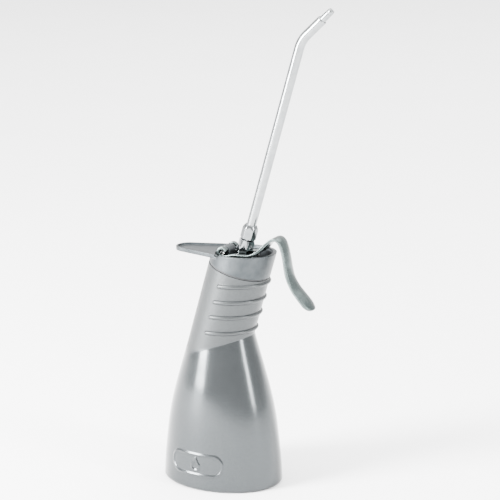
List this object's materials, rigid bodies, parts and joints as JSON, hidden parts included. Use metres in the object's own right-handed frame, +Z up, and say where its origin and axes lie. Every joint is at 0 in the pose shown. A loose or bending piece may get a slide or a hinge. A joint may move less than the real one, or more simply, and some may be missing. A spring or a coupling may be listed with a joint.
{
  "type": "hand pump oiler",
  "caption": "Hand pump oiler: oval container with a leaning ribbed neck, die-cast head with hand rest, squeeze lever, piston pump and long bent spout.",
  "frame": {"origin": "centre of the flat base, on the floor", "axes": "+Z up, +X to the squeeze lever, -X to the hand rest, symmetric about Y = 0"},
  "size_m": [0.0998, 0.055, 0.2688],
  "materials": {
    "container_shell": "silver metallic, satin to gloss",
    "ring_brass": "turned",
    "black_rubber": "matt",
    "head_casting": "satin grey die casting",
    "turned_brass": "turned",
    "barrel_steel": "drawn tube",
    "clear_tube": "natural polyethylene",
    "strainer_plastic": "moulded",
    "ball_steel": "polished",
    "pin_steel": "bright plated",
    "lever_steel": "zinc plated sheet, satin",
    "nut_plate": "bright plated",
    "spout_plate": "bright plated tube",
    "nozzle_plate": "bright plated",
    "rod_steel": "ground",
    "spring_steel": "drawn wire"
  },
  "bodies": {
    "container": {"container": "container_shell", "thread_ring": "ring_brass"},
    "head": {"pump_head": "head_casting", "head_gasket": "black_rubber", "rod_guide": "turned_brass", "rod_seal": "black_rubber", "barrel_washer": "black_rubber", "pump_barrel": "barrel_steel", "foot_valve": "turned_brass", "ball_cage": "turned_brass", "dip_tube": "clear_tube", "inlet_strainer": "strainer_plastic", "pivot_pin": "pin_steel", "return_spring": "spring_steel"},
    "suction_ball": {"suction_ball": "ball_steel"},
    "lever": {"lever": "lever_steel", "stop_rivet": "pin_steel"},
    "piston": {"valve_housing": "nut_plate", "trunnion_studs": "pin_steel", "union_nut": "nut_plate", "piston_rod": "rod_steel", "piston": "turned_brass", "piston_seal": "black_rubber", "piston_nut": "turned_brass", "spring_plug": "turned_brass", "discharge_spring": "spring_steel"},
    "discharge_ball": {"discharge_ball": "ball_steel"},
    "spout": {"spout_tube": "spout_plate", "spout_nozzle": "nozzle_plate", "spout_ferrule": "turned_brass"}
  },
  "joints": [
    {"name": "head_lift", "type": "slide", "parent": "container", "child": "head", "axis": [0.2719, 0, 0.9623], "range_m": [0, 0.125]},
    {"name": "lever_pivot", "type": "hinge", "parent": "head", "child": "lever", "pos_m": [0.0033, 0, 0.1334], "axis": [0, 1, 0], "range_deg": [0, 9.5]},
    {"name": "piston_slide", "type": "slide", "parent": "head", "child": "piston", "axis": [-0.2719, 0, -0.9623], "range_m": [0, 0.00155], "stiffness_N_per_m": 600, "springref_m": -0.006, "deforming": ["return_spring"]},
    {"name": "spout_swivel", "type": "hinge", "parent": "piston", "child": "spout", "pos_m": [0.0133, 0, 0.1334], "axis": [0.2719, 0, 0.9623], "range_deg": [-180, 180]},
    {"name": "suction_ball_lift", "type": "slide", "parent": "head", "child": "suction_ball", "axis": [0.2719, 0, 0.9623], "range_m": [0, 0.0015]},
    {"name": "discharge_ball_lift", "type": "slide", "parent": "piston", "child": "discharge_ball", "axis": [0.2719, 0, 0.9623], "range_m": [0, 0.0006], "stiffness_N_per_m": 15, "springref_m": -0.002, "deforming": ["discharge_spring"]}
  ],
  "couplings": [
    {"joint": "lever_pivot", "follows": "piston_slide", "rad_per_m": 106.61}
  ]
}
